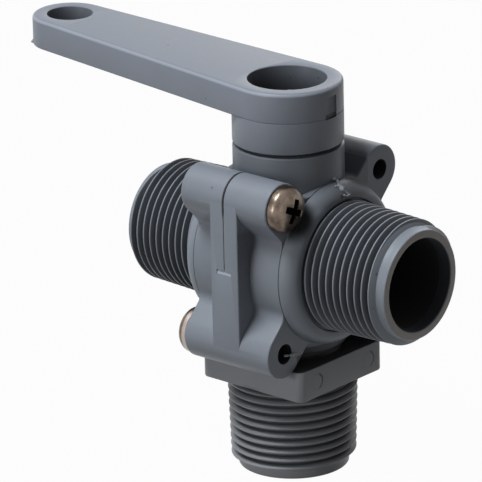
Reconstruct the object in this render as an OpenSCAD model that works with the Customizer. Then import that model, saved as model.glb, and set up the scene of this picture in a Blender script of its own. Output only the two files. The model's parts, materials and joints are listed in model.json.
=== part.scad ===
// Three-way ball valve: a plastic body split into two halves round an L-bored ball,
// with two run ports, a separate branch port below and a lever on top.
// Millimetres. The origin is the centre of the branch port's end face, +Z up, +X to the right port.

/* [Ports] */
// Distance between the end faces of the two run ports
run_len = 69.5; // [66:0.5:76]
// Height of the run ports' axis above the branch port's end face
branch_drop = 46.5; // [45:0.5:54]
// Thread diameter over the crests at a port's end
thread_od = 26.05; // [25.4:0.05:26.6]
// Distance from one thread crest to the next
thread_pitch = 1.814; // [1.7:0.002:1.85]
// Height of the thread from root to crest
thread_depth = 1.2; // [0.9:0.05:1.3]
// Growth of the thread's diameter per millimetre of length
thread_taper = 0.0625; // [0:0.0125:0.075]
// Thread crests on each run port
run_crests = 10; // [7:1:10]
// Thread crests on the branch port
branch_crests = 8; // [6:1:9]
// Distance from a port's end face to its first crest
first_crest = 3; // [2.7:0.1:3.4]
// Bore diameter at the mouth of each port
port_bore = 19.5; // [17:0.1:20]
// Depth of that bore before it narrows
port_bore_len = 15; // [10:0.5:16]
// Length of the plain nose at a port's end, before its thread
nose_len = 1.9; // [1.2:0.1:2.2]
// Diameter of that nose
nose_d = 23.1; // [22.6:0.1:24]

/* [Body] */
// Diameter of the round housing that holds the ball
housing_d = 34.6; // [34.2:0.1:36.4]
// Half length of the housing along the run
housing_half = 11.6; // [11.6:0.1:12.4]
// Length of the rounded shoulder between housing and thread
shoulder_len = 3.4; // [2.6:0.1:3.5]
// Diameter of the shoulder's outer rim, beside the thread
shoulder_rim_d = 28.2; // [27.6:0.1:30]
// Diameter of the neck that guides the stem
neck_d = 23.1; // [22:0.1:25]
// Height of the neck's top above the ball's centre
neck_top = 23.75; // [23.4:0.05:25]
// Diameter of the short collar under the housing, round the branch port's spigot
stub_d = 23.1; // [22.6:0.1:25]
// Depth of that collar below the ball's centre
stub_low = 19; // [18.6:0.1:19.8]

/* [Lugs and screws] */
// Distance of the screw axes in front of and behind the ball's centre
lug_y = 15.55; // [15:0.05:17]
// Distance of the screw axes above and below the ball's centre
lug_z = 15.8; // [15.2:0.1:17]
// Diameter of each screw boss
lug_d = 10.54; // [10:0.02:12]
// Distance from the parting plane to the flat end of a boss
lug_half = 11.4; // [10:0.1:12]
// Width of the plates that join the bosses at the front and back
strap_w = 7.25; // [5:0.05:9]
// Thread diameter of the body screws
screw_d = 4.8; // [4.2:0.1:5]
// Length of a body screw under its head
screw_len = 20; // [16:0.5:22]
// Head diameter of a body screw
head_d = 9.8; // [8:0.1:10]
// Head height of a body screw
head_h = 3.5; // [2.6:0.1:3.8]
// Diameter of the pilot hole that a body screw bites into
pilot_d = 4.1; // [3.8:0.05:4.1]
// Play all round a body screw in its clearance hole
screw_play = 0.2; // [0.1:0.05:0.3]
// Room all round a screw head where it is let into the housing
head_room = 0.25; // [0.2:0.05:0.6]

/* [Ball and seats] */
// Diameter of the ball
ball_d = 27.6; // [27.2:0.1:28]
// Diameter of the L-shaped bore through the ball
ball_bore = 15.2; // [13:0.1:15.6]
// Room between the ball and its chamber
ball_room = 0.7; // [0.5:0.05:0.9]
// Gap between the ball and the cup of a seat
seat_gap = 0.1; // [0.05:0.01:0.2]
// Bore of a seat ring
seat_bore = 16; // [15.8:0.1:17]
// Width of a seat ring from its bore to its outside
seat_width = 4.2; // [4:0.05:4.4]
// Distance from the ball's centre to the front face of a seat ring
seat_front = 9.3; // [9.2:0.05:9.8]
// Distance from the ball's centre to the floor of a seat pocket
pocket_floor = 12.6; // [12.5:0.05:12.9]

/* [Branch port] */
// Width of the square collar along the run
collar_x = 27.2; // [26:0.1:30]
// Width of the square collar from front to back
collar_y = 26.4; // [25:0.1:30]
// Thickness of the square collar
collar_h = 6.6; // [5:0.1:7.5]
// Distance from the ball's centre down to the collar's top
collar_top = 20.45; // [20.2:0.05:21.5]
// Corner radius of the collar
collar_corner = 1.5; // [0.5:0.1:3]
// Diameter of the spigot that enters the body
spigot_d = 20.2; // [19.8:0.1:20.6]
// Diameter of the rim that locks the spigot in the body
rim_d = 22.4; // [21.8:0.1:22.8]
// Thickness of that rim
rim_h = 1.8; // [1.4:0.1:2]
// Distance from the ball's centre down to the rim's top
rim_top = 11.4; // [11.2:0.1:12]

/* [Stem] */
// Diameter of the stem in the neck
stem_d = 12; // [11:0.1:12.4]
// Radial running clearance of the stem in the neck
stem_play = 0.05; // [0.02:0.01:0.1]
// Diameter of the stem's collar under the neck
stem_collar_d = 16.6; // [16:0.1:17]
// Thickness of the stem's collar
stem_collar_h = 2; // [1.6:0.1:2.2]
// Gap between the top of the ball and the stem's collar
collar_gap = 0.5; // [0.4:0.05:0.8]
// Thickness of the thrust washer over that collar
thrust_h = 0.8; // [0.5:0.05:1]
// Thickness of the tang that turns the ball
tang_w = 4.6; // [4:0.1:5.5]
// Depth of the tang in the ball
tang_depth = 2.9; // [2.4:0.1:3]
// Angle of travel between the stops
travel = 180; // [90:5:180]
// Width of the stop lug as an angle
stop_lug_w = 24; // [16:1:30]
// Distance across the flats of the stem's drive
drive_flats = 8.6; // [7.5:0.1:10]
// Width of each O-ring groove in the stem
groove_w = 1.7; // [1.5:0.05:1.8]
// Depth of each O-ring groove in the stem
groove_h = 1.3; // [1:0.05:1.4]

/* [Handle] */
// Distance from the stem axis to the hole at the lever's end
lever_len = 65.8; // [50:0.2:90]
// Diameter of the hub and of the lever's wide end
hub_d = 23.1; // [22:0.1:26]
// Diameter of the lever's narrow end
lever_end_d = 16; // [14:0.1:20]
// Thickness of the lever
lever_h = 6.5; // [5:0.1:8]
// Height of the lever's top above the ball's centre
lever_top = 37.6; // [37:0.1:40]
// Gap between the hub and the neck
hub_gap = 0.7; // [0.4:0.05:1]
// Diameter of the recess in the hub
hub_recess_d = 16.4; // [14:0.1:17]
// Thickness of the hub's floor, which the drive goes through
hub_floor = 3.5; // [3:0.1:4]
// Diameter of the hole at the lever's end
end_hole_d = 9.7; // [6:0.1:11]
// Width of the chamfer round the lever's top
lever_chamfer = 0.7; // [0.3:0.05:1]
// Direction in which the lever points, as an angle from the right port
lever_angle = 175.1; // [170:0.1:180]

/* [Hidden] */
$fn = 96;

// Thread form
crest_flat = 0.25;
flank_run = thread_depth * tan(30);
nose_r = nose_d / 2;
nose_edge = 0.2;
throat_r = seat_bore / 2 + 0.3;
throat_len = 3;

// Housing, lugs and parting plane
housing_r = housing_d / 2;
shoulder_step = 0.25;
lug_r = lug_d / 2;
lug_dist = norm([lug_y, lug_z]);
tangent_inset = 0.05;
strap_y = lug_y + lug_r - tangent_inset;
web_inset = 0.3;
web_w = 2 * (lug_r - web_inset);
seam_w = 0.15;
seam_depth = 0.35;
seam_low = 1.3;
notch_z = 0.7;
notch_w = 3.9;
notch_h = 1.1;
notch_depth = 0.7;

// Ball chamber, seats and seals
ball_r = ball_d / 2;
chamber_r = ball_r + ball_room;
pocket_play = 0.1;
seat_d = seat_bore + 2 * seat_width;
pocket_r = seat_d / 2 + pocket_play;
seat_back_gap = 0.1;
seat_back = pocket_floor - seat_back_gap;
seat_rebate_w = 1.6;
seat_rebate_h = 1.5;
ring_play = 0.03;
seal_r = 0.8;
seal_path_r = ball_r + 2.4;
seal_from = -40;
seal_to = 47;

// Branch port
spigot_play = 0.05;
branch_ring_h = 1.8;
branch_ring_z = -(collar_top + rim_top + rim_h) / 2 - 0.6;
branch_ring_floor = spigot_d / 2 - 1.15;
branch_cone = 3.5;

// Stem
stem_r = stem_d / 2;
stem_bore_r = stem_r + stem_play;
collar_low = ball_r + collar_gap;
collar_high = collar_low + stem_collar_h;
washer_gap = 0.05;
washer_low = collar_high + washer_gap;
chamber_top = washer_low + thrust_h + washer_gap;
chamber_side = 0.15;
stem_chamber_r = stem_collar_d / 2 + chamber_side;
stop_r = stem_collar_d / 2 + 1.6;
stop_play = 0.4;
tang_len = 12.4;
tang_play = 0.05;
land = (neck_top - chamber_top - 2 * groove_w) / 3;
groove_1 = chamber_top + land;
groove_2 = groove_1 + groove_w + land;
groove_floor_r = stem_r - groove_h;
drive_play = 0.1;

// Handle and its screw
hub_low = neck_top + hub_gap;
lever_low = lever_top - lever_h;
hub_r = hub_d / 2;
hub_step = 0.1;
lever_inset = 0.15;
lever_side = acos((hub_r - lever_end_d / 2) / lever_len);
floor_top = hub_low + hub_floor;
drive_top = floor_top - 0.2;
washer_h = 0.9;
washer_r = 6.2;
handle_screw_d = 4.2;
handle_head_d = 8;
handle_head_h = 2.4;
handle_screw_len = 12;
handle_core_d = 3.5;
gate_flat_w = 3.7;
gate_flat_h = 5;
gate_flat_depth = 0.3;

plastic = [0.42, 0.44, 0.47];
plastic_dark = [0.38, 0.40, 0.43];
rubber = [0.08, 0.08, 0.09];
white_resin = [0.90, 0.89, 0.86];
nickel = [0.66, 0.62, 0.57];

// Points on a quarter of an ellipse, from its foot (a, 0) to its top (0, b), moved by (cx, cy)
function quarter(cx, cy, a, b, n) =
    [for (i = [0 : n]) let (t = 90 * i / n) [cx + a * cos(t), cy + b * sin(t)]];

// Crest radius at a distance s from the port's end face
function crest_r(s) = thread_od / 2 + s * thread_taper / 2;

// Four points for each ridge, from the port's end face inwards
function ridges(count) = [
    for (i = [0 : count - 1])
    let (s = first_crest + i * thread_pitch, c = crest_r(s))
    each [
        i == 0 ? [nose_r, nose_len] : [c - thread_depth, s - crest_flat / 2 - flank_run],
        [c, s - crest_flat / 2],
        [c, s + crest_flat / 2],
        [c - thread_depth, s + crest_flat / 2 + flank_run]
    ]
];

// Half outline of a threaded port, radius against distance from its end face
function port_outline(count, back) = [
    [0, 0], [nose_r - nose_edge, 0], [nose_r, nose_edge],
    each ridges(count),
    [crest_r(back) - thread_depth, back], [0, back]
];

// Turns a profile of radius against distance so that its axis is the run, right port outwards
module about_run() {
    rotate([0, 90, 0]) rotate_extrude() children();
}

module at_ball() {
    translate([0, 0, branch_drop]) children();
}

// The handle, the stem and the ball turn together
module turned() {
    at_ball() rotate([0, 0, lever_angle]) children();
}

module ring(outer, inner, h) {
    difference() {
        cylinder(r = outer, h = h);
        translate([0, 0, -1]) cylinder(r = inner, h = h + 2);
    }
}

module torus(path_r, section_r) {
    rotate_extrude() translate([path_r, 0]) circle(r = section_r);
}

// Outer form of the housing, its shoulder and its port, turned about the run
module run_form() {
    thread_start = housing_half + shoulder_len;
    about_run() polygon([
        [0, 0], [housing_r, 0], [housing_r, housing_half],
        each quarter(shoulder_rim_d / 2, housing_half,
                     housing_r - shoulder_step - shoulder_rim_d / 2, shoulder_len, 8),
        [0, thread_start]
    ]);
    about_run() polygon([for (p = port_outline(run_crests, run_len / 2 - housing_half)) [p[0], run_len / 2 - p[1]]]);
}

// One screw boss with its web to the housing
module lug(y_side, z_side) {
    rotate([90, 0, 90]) linear_extrude(lug_half) {
        translate([y_side * lug_y, z_side * lug_z]) circle(r = lug_r);
        rotate(atan2(z_side * lug_z, y_side * lug_y)) translate([housing_r / 2, -web_w / 2])
            square([lug_dist - housing_r / 2, web_w]);
    }
}

// Plate from the upper boss to the lower one
module strap(y_side) {
    translate([0, y_side < 0 ? -strap_y : 0, -lug_z]) cube([strap_w / 2, strap_y, 2 * lug_z]);
}

module half_form() {
    run_form();
    for (y_side = [-1, 1]) {
        strap(y_side);
        for (z_side = [-1, 1]) lug(y_side, z_side);
    }
    intersection() {
        union() {
            cylinder(r = neck_d / 2, h = neck_top);
            translate([0, 0, -stub_low]) cylinder(r = stub_d / 2, h = stub_low);
        }
        translate([0, -neck_d, -2 * stub_low]) cube([neck_d, 2 * neck_d, 2 * (stub_low + neck_top)]);
    }
}

// Waterway and seat pocket, turned about the run
module run_hollow() {
    about_run() polygon([
        [0, -1], [pocket_r, -1], [pocket_r, pocket_floor], [throat_r, pocket_floor],
        [throat_r, run_len / 2 - port_bore_len - throat_len],
        [port_bore / 2, run_len / 2 - port_bore_len],
        [port_bore / 2, run_len / 2 + 1], [0, run_len / 2 + 1]
    ]);
    sphere(r = chamber_r);
}

// Sector of a short drum, between two angles
module sector(r, from, to, h) {
    rotate([0, 0, from]) rotate_extrude(angle = to - from) square([r, h]);
}

module stem_hollow() {
    cylinder(r = stem_bore_r, h = neck_top + 1);
    cylinder(r = stem_chamber_r, h = chamber_top);
    reach = travel / 2 + stop_lug_w / 2 + stop_play;
    translate([0, 0, collar_low - washer_gap])
        sector(stop_r + chamber_side, -reach, reach, stem_collar_h + 2 * washer_gap);
}

module branch_hollow() {
    translate([0, 0, -stub_low - 1]) cylinder(r = spigot_d / 2 + spigot_play, h = stub_low + 1 - rim_top);
    translate([0, 0, -rim_top - rim_h - spigot_play])
        cylinder(r = rim_d / 2 + spigot_play, h = rim_h + 2 * spigot_play);
}

// Round cord laid in the parting plane, clear of the stem and of the spigot
module parting_cord(y_side, section_r, trim) {
    rotate([0, 0, y_side < 0 ? 180 : 0]) rotate([90, 0, 90])
        rotate([0, 0, seal_from + trim]) rotate_extrude(angle = seal_to - seal_from - 2 * trim)
            translate([seal_path_r, 0]) circle(r = section_r);
}

// Fine relief along the upper front seam, and the short slot at its foot
module seam_relief() {
    difference() {
        translate([-1, -strap_y - 1, seam_low])
            cube([1 + seam_w, lug_r + 1, lug_z + lug_r + 1 - seam_low]);
        translate([-2, -lug_y, lug_z]) rotate([0, 90, 0]) cylinder(r = lug_r - seam_depth, h = 4);
        translate([-2, -strap_y + seam_depth, 0]) cube([4, strap_y, lug_z]);
    }
    translate([-1, -strap_y - 1, notch_z - notch_h / 2]) cube([1 + notch_w / 2, 1 + notch_depth, notch_h]);
}

module screw_hole(y_side, z_side, r) {
    translate([-1, y_side * lug_y, z_side * lug_z]) rotate([0, 90, 0]) cylinder(r = r, h = lug_half + 2);
}

// Pocket that lets a screw head into the housing's rim
module head_pocket(y_side, z_side) {
    translate([lug_half, y_side * lug_y, z_side * lug_z]) rotate([0, 90, 0])
        cylinder(r = head_d / 2 + head_room, h = housing_half + shoulder_len);
}

// The right half, or the left one when turned; the stop's slot lies on the right of the whole valve
module body_half(turn) {
    rotate([0, 0, turn]) difference() {
        half_form();
        run_hollow();
        rotate([0, 0, -turn]) stem_hollow();
        branch_hollow();
        parting_cord(-1, seal_r + ring_play, 0);
        parting_cord(1, seal_r + ring_play, 0);
        seam_relief();
        screw_hole(-1, 1, screw_d / 2 + screw_play);
        screw_hole(1, -1, screw_d / 2 + screw_play);
        screw_hole(-1, -1, pilot_d / 2);
        screw_hole(1, 1, pilot_d / 2);
        head_pocket(-1, 1);
        head_pocket(1, -1);
    }
}

module body_half_right() {
    color(plastic) at_ball() body_half(0);
}

module body_half_left() {
    color(plastic_dark) at_ball() body_half(180);
}

module body_seal_front() {
    color(rubber) at_ball() parting_cord(-1, seal_r, 0.2);
}

module body_seal_back() {
    color(rubber) at_ball() parting_cord(1, seal_r, 0.2);
}

// Rounded square plate, with true arcs at its corners
module collar_plate() {
    dx = collar_x / 2 - collar_corner;
    dy = collar_y / 2 - collar_corner;
    linear_extrude(collar_h) {
        square([collar_x, 2 * dy], center = true);
        square([2 * dx, collar_y], center = true);
        for (x = [-dx, dx]) for (y = [-dy, dy]) translate([x, y]) circle(r = collar_corner);
    }
}

module branch_port() {
    collar_z = branch_drop - collar_top;
    rim_z = branch_drop - rim_top;
    color(plastic) difference() {
        union() {
            rotate_extrude() polygon(port_outline(branch_crests, collar_z - collar_h / 2));
            translate([0, 0, collar_z - collar_h]) collar_plate();
            translate([0, 0, collar_z - 1]) cylinder(r = spigot_d / 2, h = rim_z - collar_z + 1);
            translate([0, 0, rim_z - rim_h]) cylinder(r = rim_d / 2, h = rim_h);
        }
        rotate_extrude() polygon([
            [0, -1], [port_bore / 2, -1], [port_bore / 2, port_bore_len],
            [ball_bore / 2, port_bore_len + branch_cone], [ball_bore / 2, rim_z + 1], [0, rim_z + 1]
        ]);
        at_ball() sphere(r = chamber_r);
        for (side = [0, 180]) at_ball() rotate([0, 90, side])
            translate([0, 0, seat_front - pocket_play]) cylinder(r = pocket_r, h = rim_d / 2);
        translate([0, 0, branch_drop + branch_ring_z - branch_ring_h / 2])
            ring(spigot_d, branch_ring_floor, branch_ring_h);
    }
}

module branch_oring() {
    section = (spigot_d / 2 + spigot_play - branch_ring_floor) / 2 - ring_play;
    color(rubber) translate([0, 0, branch_drop + branch_ring_z])
        torus((spigot_d / 2 + spigot_play + branch_ring_floor) / 2, section);
}

// Seat ring with a spherical cup, and a rebate at its back corner for the O-ring
module seat() {
    difference() {
        about_run() polygon([
            [seat_bore / 2, seat_front], [seat_d / 2, seat_front],
            [seat_d / 2, seat_back - seat_rebate_h], [seat_d / 2 - seat_rebate_w, seat_back - seat_rebate_h],
            [seat_d / 2 - seat_rebate_w, seat_back], [seat_bore / 2, seat_back]
        ]);
        sphere(r = ball_r + seat_gap);
    }
}

module seat_oring() {
    section = (seat_rebate_h + seat_back_gap) / 2 - ring_play;
    translate([seat_back - seat_rebate_h + section + ring_play, 0, 0])
        rotate([0, 90, 0]) torus(seat_d / 2 + pocket_play - section - ring_play, section);
}

module seat_right() {
    color(white_resin) at_ball() seat();
}

module seat_left() {
    color(white_resin) at_ball() rotate([0, 0, 180]) seat();
}

module seat_oring_right() {
    color(rubber) at_ball() seat_oring();
}

module seat_oring_left() {
    color(rubber) at_ball() rotate([0, 0, 180]) seat_oring();
}

// Cross recess for a driver
module cross_recess(span, arm, depth) {
    translate([-span / 2, -arm / 2, -depth]) cube([span, arm, depth + 2]);
    translate([-arm / 2, -span / 2, -depth]) cube([arm, span, depth + 2]);
}

// Pan head standing on z = 0
module pan_head(d, h) {
    side = 0.36 * h;
    difference() {
        rotate_extrude() polygon([[0, 0], [d / 2, 0], each quarter(0, side, d / 2, h - side, 8)]);
        translate([0, 0, h]) cross_recess(0.52 * d, 0.13 * d, 0.55 * h);
    }
}

// Body screw along the run, its head seated on a boss; turned 180 for a head on the left
module body_screw() {
    translate([lug_half, 0, 0]) rotate([0, 90, 0]) {
        pan_head(head_d, head_h);
        translate([0, 0, -lug_half]) cylinder(r = screw_d / 2, h = lug_half + 0.5);
        rotate_extrude() polygon([
            [0, -screw_len], [pilot_d / 4, -screw_len], [pilot_d / 2 - ring_play, -screw_len + 2],
            [pilot_d / 2 - ring_play, -lug_half + 1], [0, -lug_half + 1]
        ]);
    }
}

module screw_front_upper() {
    color(nickel) at_ball() translate([0, -lug_y, lug_z]) body_screw();
}

module screw_front_lower() {
    color(nickel) at_ball() translate([0, -lug_y, -lug_z]) rotate([0, 0, 180]) body_screw();
}

module screw_back_upper() {
    color(nickel) at_ball() translate([0, lug_y, lug_z]) rotate([0, 0, 180]) body_screw();
}

module screw_back_lower() {
    color(nickel) at_ball() translate([0, lug_y, -lug_z]) body_screw();
}

module thrust_washer() {
    color(white_resin) at_ball() translate([0, 0, washer_low])
        ring(stem_collar_d / 2, stem_bore_r + washer_gap, thrust_h);
}

// Ball with a bore from below that turns out towards the lever, and a slot for the tang
module ball() {
    color(white_resin) turned() difference() {
        sphere(r = ball_r);
        translate([0, 0, -ball_r - 1]) cylinder(r = ball_bore / 2, h = ball_r + 1);
        rotate([0, 90, 0]) cylinder(r = ball_bore / 2, h = ball_r + 1);
        sphere(r = ball_bore / 2);
        translate([-ball_r, -tang_w / 2 - tang_play, ball_r - tang_depth - tang_play])
            cube([2 * ball_r, tang_w + 2 * tang_play, ball_r]);
    }
}

module stem() {
    color(plastic_dark) turned() difference() {
        union() {
            translate([-tang_len / 2, -tang_w / 2, ball_r - tang_depth])
                cube([tang_len, tang_w, tang_depth + collar_gap + 1]);
            translate([0, 0, collar_low]) cylinder(r = stem_collar_d / 2, h = stem_collar_h);
            translate([0, 0, collar_low])
                sector(stop_r, -90 - stop_lug_w / 2, -90 + stop_lug_w / 2, stem_collar_h);
            translate([0, 0, collar_low]) cylinder(r = stem_r, h = neck_top - collar_low);
            intersection() {
                translate([0, 0, collar_low]) cylinder(r = stem_r, h = drive_top - collar_low);
                translate([-stem_r, -drive_flats / 2, collar_low])
                    cube([2 * stem_r, drive_flats, drive_top - collar_low]);
            }
        }
        for (z = [groove_1, groove_2]) translate([0, 0, z]) ring(stem_d, groove_floor_r, groove_w);
        translate([0, 0, floor_top + washer_h - handle_screw_len - 1])
            cylinder(r = handle_core_d / 2 + ring_play, h = handle_screw_len + 2);
    }
}

module stem_oring(z) {
    section = (stem_bore_r - groove_floor_r) / 2 - ring_play;
    color(rubber) at_ball() translate([0, 0, z + groove_w / 2])
        torus((stem_bore_r + groove_floor_r) / 2, section);
}

module stem_oring_upper() {
    stem_oring(groove_2);
}

module stem_oring_lower() {
    stem_oring(groove_1);
}

// Straight part of the lever, between the lines where its sides touch the round ends
module lever_slab() {
    edge_z = lever_top - lever_chamfer;
    r1 = hub_r - lever_inset;
    r2 = lever_end_d / 2 - lever_inset;
    difference() {
        translate([0, 0, lever_low]) linear_extrude(lever_h) polygon([
            [r1 * cos(lever_side), r1 * sin(lever_side)], [r1 * cos(lever_side), -r1 * sin(lever_side)],
            [lever_len + r2 * cos(lever_side), -r2 * sin(lever_side)],
            [lever_len + r2 * cos(lever_side), r2 * sin(lever_side)]
        ]);
        for (side = [0, 1]) mirror([0, side, 0]) rotate([0, 0, lever_side]) translate([0, 1, 0])
            rotate([90, 0, 0]) linear_extrude(lever_len + 2) polygon([
                [r1, edge_z], [r1 + 1, edge_z - 1], [r1 + 1, lever_top + 1], [r1 - lever_chamfer - 1, lever_top + 1]
            ]);
    }
}

module lever_form() {
    edge_z = lever_top - lever_chamfer;
    lever_slab();
    translate([0, 0, hub_low]) cylinder(r = hub_r, h = edge_z - hub_low);
    translate([0, 0, edge_z]) cylinder(r1 = hub_r, r2 = hub_r - lever_chamfer, h = lever_chamfer);
    translate([0, 0, hub_low]) cylinder(r = hub_r + hub_step, h = lever_low - hub_low);
    translate([lever_len, 0, 0]) {
        translate([0, 0, lever_low]) cylinder(r = lever_end_d / 2, h = lever_h - lever_chamfer);
        translate([0, 0, edge_z])
            cylinder(r1 = lever_end_d / 2, r2 = lever_end_d / 2 - lever_chamfer, h = lever_chamfer);
    }
}

module handle() {
    color(plastic) turned() difference() {
        lever_form();
        translate([0, 0, floor_top]) cylinder(r = hub_recess_d / 2, h = lever_top);
        translate([lever_len, 0, lever_low - 1]) cylinder(r = end_hole_d / 2, h = lever_h + 2);
        intersection() {
            cylinder(r = stem_r + drive_play, h = lever_top);
            translate([-hub_r, -drive_flats / 2 - drive_play, 0])
                cube([2 * hub_r, drive_flats + 2 * drive_play, lever_top]);
        }
        translate([-hub_r - 1, -gate_flat_w / 2, lever_low])
            cube([1 + gate_flat_depth, gate_flat_w, gate_flat_h]);
    }
}

module handle_washer() {
    color(nickel) at_ball() translate([0, 0, floor_top]) ring(washer_r, handle_screw_d / 2 + screw_play, washer_h);
}

module handle_screw() {
    under_head = floor_top + washer_h;
    color(nickel) turned() {
        translate([0, 0, under_head]) pan_head(handle_head_d, handle_head_h);
        translate([0, 0, drive_top + 0.05])
            cylinder(r = handle_screw_d / 2, h = under_head - drive_top + 0.2);
        rotate_extrude() polygon([
            [0, under_head - handle_screw_len], [handle_core_d / 4, under_head - handle_screw_len],
            [handle_core_d / 2, under_head - handle_screw_len + 1.5],
            [handle_core_d / 2, under_head], [0, under_head]
        ]);
    }
}

body_half_right();
body_half_left();
body_seal_front();
body_seal_back();
branch_port();
branch_oring();
seat_right();
seat_left();
seat_oring_right();
seat_oring_left();
screw_front_upper();
screw_front_lower();
screw_back_upper();
screw_back_lower();
thrust_washer();
ball();
stem();
stem_oring_upper();
stem_oring_lower();
handle();
handle_washer();
handle_screw();
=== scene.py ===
import json

import bmesh
import bpy
import numpy as np
from mathutils import Matrix


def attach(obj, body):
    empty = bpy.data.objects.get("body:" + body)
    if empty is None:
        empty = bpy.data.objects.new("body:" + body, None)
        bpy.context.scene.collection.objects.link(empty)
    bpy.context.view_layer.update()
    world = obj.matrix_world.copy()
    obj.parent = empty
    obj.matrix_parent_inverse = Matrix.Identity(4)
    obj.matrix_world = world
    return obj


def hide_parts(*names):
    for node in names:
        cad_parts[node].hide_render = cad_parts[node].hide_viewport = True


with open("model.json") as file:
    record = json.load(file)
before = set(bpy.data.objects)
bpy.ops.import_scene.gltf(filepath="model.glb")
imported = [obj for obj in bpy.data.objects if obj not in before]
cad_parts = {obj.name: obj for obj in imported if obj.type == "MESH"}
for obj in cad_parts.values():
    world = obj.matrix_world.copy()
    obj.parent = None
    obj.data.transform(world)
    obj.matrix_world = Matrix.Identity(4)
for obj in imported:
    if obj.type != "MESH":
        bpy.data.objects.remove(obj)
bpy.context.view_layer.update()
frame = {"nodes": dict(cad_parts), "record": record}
print("frame loaded:", len(frame["nodes"]), "nodes")

# Lengths are in millimetres until a piece's mesh is made.
mm = 0.001
fullTurn = 2 * np.pi
ballHeight = 46.5  # the run's axis above the branch port's end
runHalf = 34.75  # from the ball's centre to the end of a run port
lugHalf, lugY, lugZ = 11.4, 15.55, 15.8  # seat of a body screw's head, from the ball's centre
headRadius, headHeight, headCheek = 4.9, 3.5, 1.1  # of a body screw, the cheek being its straight foot
chamberRadius = 14.5  # hollow round the ball
leverAngle = np.radians(175.1)  # from the right port to the lever


# Eased step from 0 to 1 as value goes from low to high
def ease(value, low, high):
    t = np.clip((value - low) / (high - low), 0, 1)
    return t * t * (3 - 2 * t)


# Points (cos a, sin a) of the unit circle
def circleAt(angle):
    return np.stack([np.cos(angle), np.sin(angle)], -1)


# Points on a circle's arc about centre, from one angle to another
def arc(centre, radius, start, end, count, last=False):
    return radius * circleAt(np.linspace(start, end, count, endpoint=last)) + centre


# Points (x, y) turned about the origin: (x cos a - y sin a, x sin a + y cos a)
def turnPoints(points, angle):
    turn = np.array([[np.cos(angle), np.sin(angle)], [-np.sin(angle), np.cos(angle)]])
    return points @ turn


# Outward normals of a closed outline that runs anticlockwise and repeats its first point at its end
def outlineNormals(outline):
    ring = outline[:-1]
    along = np.roll(ring, -1, 0) - np.roll(ring, 1, 0)
    normal = np.stack([along[:, 1], -along[:, 0]], -1)
    normal /= np.linalg.norm(normal, axis=1, keepdims=True)
    return np.vstack([normal, normal[:1]])


# Grid of closed outlines (x, y) of equal length, each at its own height
def stacked(rows):
    return np.array([np.column_stack([points, z * np.ones(len(points))]) for z, points in rows])


# Grid of a profile turned about z or x: (radius, height) pairs down the rows, angle along the columns
def turned(profile, columns=96, axis="z"):
    profile = np.array(profile)[:, None]
    circle = circleAt(np.linspace(0, fullTurn, columns + 1))
    grid = np.concatenate([profile[..., :1] * circle, profile[..., 1:] * np.ones((columns + 1, 1))], -1)
    return grid[..., [2, 0, 1]] if axis == "x" else grid


# Grid of a closed outline carried up z: each row is the outline moved inwards by inset, at its own height,
# between two rows gathered at the outline's middle line.
def carried(outline, insets, heights, middle):
    rows = outline - np.reshape(insets, (-1, 1, 1)) * outlineNormals(outline)
    return stacked([(heights[0], middle), *zip(heights, rows), (heights[-1], middle)])


# Rounded edge between a side and an end: insets and heights of a quarter circle that ends at inset radius
def roundedEnd(height, radius, sign, steps=5):
    angle = np.linspace(0, np.pi / 2, steps)
    return radius * (1 - np.cos(angle)), height - sign * radius * (1 - np.sin(angle))


# Prism with rounded edges, from an outline between two heights
def block(outline, low, high, edge, lowEdge=None, middle=None, steps=5):
    insetsUp, heightsUp = roundedEnd(high, edge, 1, steps)
    insetsDown, heightsDown = roundedEnd(low, lowEdge or edge, -1)
    centre = outline[:-1].mean(0) * np.ones_like(outline) if middle is None else middle
    return carried(outline, np.concatenate([insetsDown[::-1], insetsUp]),
                   np.concatenate([heightsDown[::-1], heightsUp]), centre)


# Outline of a rectangle with round corners
def roundedBox(lowX, highX, lowY, highY, corner):
    spots = ((highX - corner, highY - corner), (lowX + corner, highY - corner),
             (lowX + corner, lowY + corner), (highX - corner, lowY + corner))
    parts = [arc(spot, corner, k * np.pi / 2, (k + 1) * np.pi / 2, 7, True) for k, spot in enumerate(spots)]
    return np.vstack([*parts, parts[0][:1]])


# Closed mesh from a grid: quads between neighbouring points; seams and poles close as doubles merge.
def gridMesh(name, grid):
    rows, columns = grid.shape[:2]
    index = np.arange(rows * columns).reshape(rows, columns)
    quads = np.stack([index[:-1, :-1], index[:-1, 1:], index[1:, 1:], index[1:, :-1]], -1)
    mesh = bpy.data.meshes.new(name)
    mesh.from_pydata((grid.reshape(-1, 3) * mm).tolist(), [], quads.reshape(-1, 4).tolist())
    work = bmesh.new()
    work.from_mesh(mesh)
    bmesh.ops.remove_doubles(work, verts=work.verts, dist=2e-6)
    bmesh.ops.dissolve_degenerate(work, dist=1e-7, edges=work.edges)
    bmesh.ops.recalc_face_normals(work, faces=work.faces)
    work.to_mesh(mesh)
    work.free()
    return mesh


# A new object at the origin, in the scene
def linked(name, mesh):
    piece = bpy.data.objects.new(name, mesh)
    bpy.context.scene.collection.objects.link(piece)
    return piece


# One closed mesh: the solids joined, then the cutters taken away
def carve(name, solids, cutters):
    made = [linked(name, gridMesh(name, grid)) for grid in solids]
    tools = [linked(name + "Tool", gridMesh(name + "Tool", grid)) for grid in cutters]
    base = made[0]
    for other in made[1:] + tools:
        step = base.modifiers.new("step", "BOOLEAN")
        step.operation = "DIFFERENCE" if other in tools else "UNION"
        step.object = other
        step.solver = "MANIFOLD"
    bpy.context.view_layer.update()
    mesh = bpy.data.meshes.new_from_object(base.evaluated_get(bpy.context.evaluated_depsgraph_get()))
    mesh.name = name
    for other in made + tools:
        bpy.data.objects.remove(other)
    return mesh


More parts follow.
